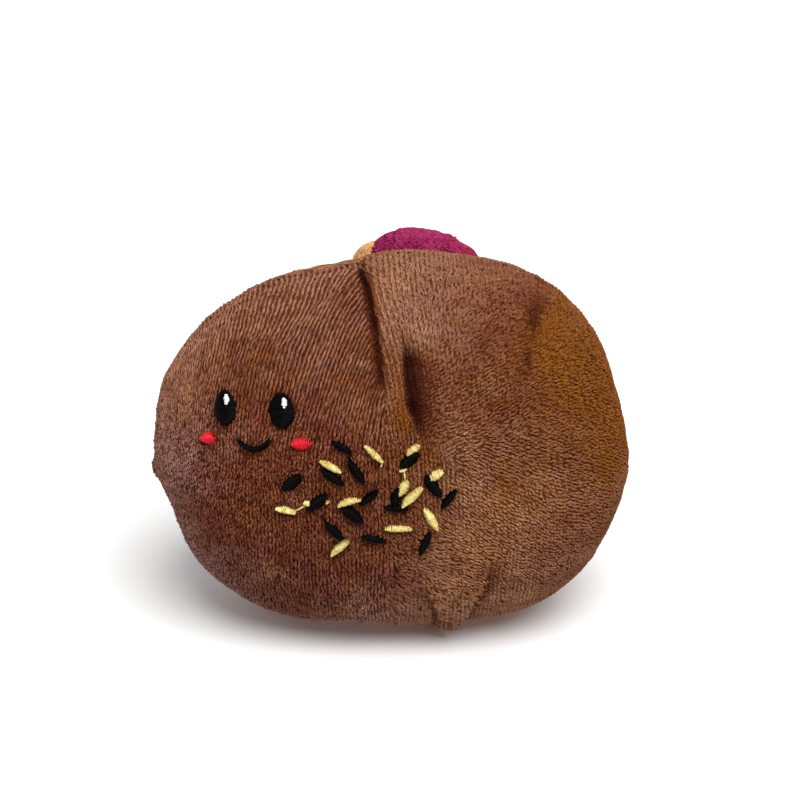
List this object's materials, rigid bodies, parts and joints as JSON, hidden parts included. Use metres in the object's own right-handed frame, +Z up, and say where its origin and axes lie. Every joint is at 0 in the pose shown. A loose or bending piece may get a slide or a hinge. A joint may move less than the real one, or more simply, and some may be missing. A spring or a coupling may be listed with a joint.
{
  "type": "plush bun toy",
  "caption": "Stuffed plush copy of a round red bean bun, with embroidered sesame seeds and a soft filling that shows through a torn opening behind its top.",
  "frame": {"origin": "under the middle of the bun, on the surface it rests on", "axes": "+X along the bun's width, to the right as its front is seen; +Y from the front to the back; +Z up"},
  "size_m": [0.1492, 0.1013, 0.116],
  "materials": {
    "brown_plush": "short-pile velour, combed in rows",
    "crumb_plush": "short-pile velour, pale yellow",
    "bean_plush": "short-pile velour, magenta",
    "black_thread": "shiny embroidery thread, black",
    "yellow_thread": "shiny embroidery thread, pale yellow",
    "white_thread": "shiny embroidery thread, white",
    "red_thread": "shiny embroidery thread, red"
  },
  "bodies": {
    "root": {"bun_body": "brown_plush", "crumb_rim": "crumb_plush", "bean_filling": "bean_plush"}
  },
  "joints": []
}
